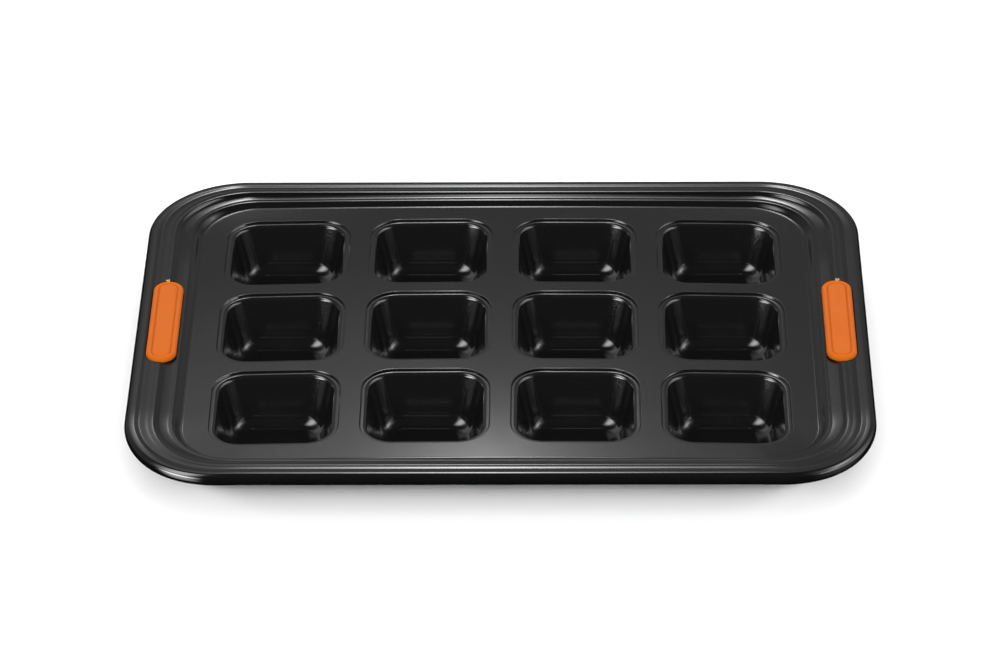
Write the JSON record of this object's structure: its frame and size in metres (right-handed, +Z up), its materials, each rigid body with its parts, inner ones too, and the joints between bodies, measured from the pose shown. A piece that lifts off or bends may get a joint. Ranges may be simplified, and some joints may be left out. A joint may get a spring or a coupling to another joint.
{
  "type": "brownie pan",
  "caption": "Rectangular dark metal baking pan with square cups in a flat deck, a stepped rim with a rolled edge and an orange silicone grip at each short end.",
  "frame": {"origin": "on the table plane under the middle of the pan, where the undersides of the cups rest", "axes": "+X along the pan's length towards the right grip, +Y from the front long side to the back one, +Z up"},
  "size_m": [0.3998, 0.2998, 0.0351],
  "materials": {
    "coated_steel": "satin charcoal non-stick coating",
    "silicone": "satin orange silicone"
  },
  "bodies": {
    "root": {"tray": "coated_steel", "cup_row1_column1": "coated_steel", "cup_row1_column2": "coated_steel", "cup_row1_column3": "coated_steel", "cup_row1_column4": "coated_steel", "cup_row2_column1": "coated_steel", "cup_row2_column2": "coated_steel", "cup_row2_column3": "coated_steel", "cup_row2_column4": "coated_steel", "cup_row3_column1": "coated_steel", "cup_row3_column2": "coated_steel", "cup_row3_column3": "coated_steel", "cup_row3_column4": "coated_steel", "left_grip": "silicone", "right_grip": "silicone"}
  },
  "joints": []
}
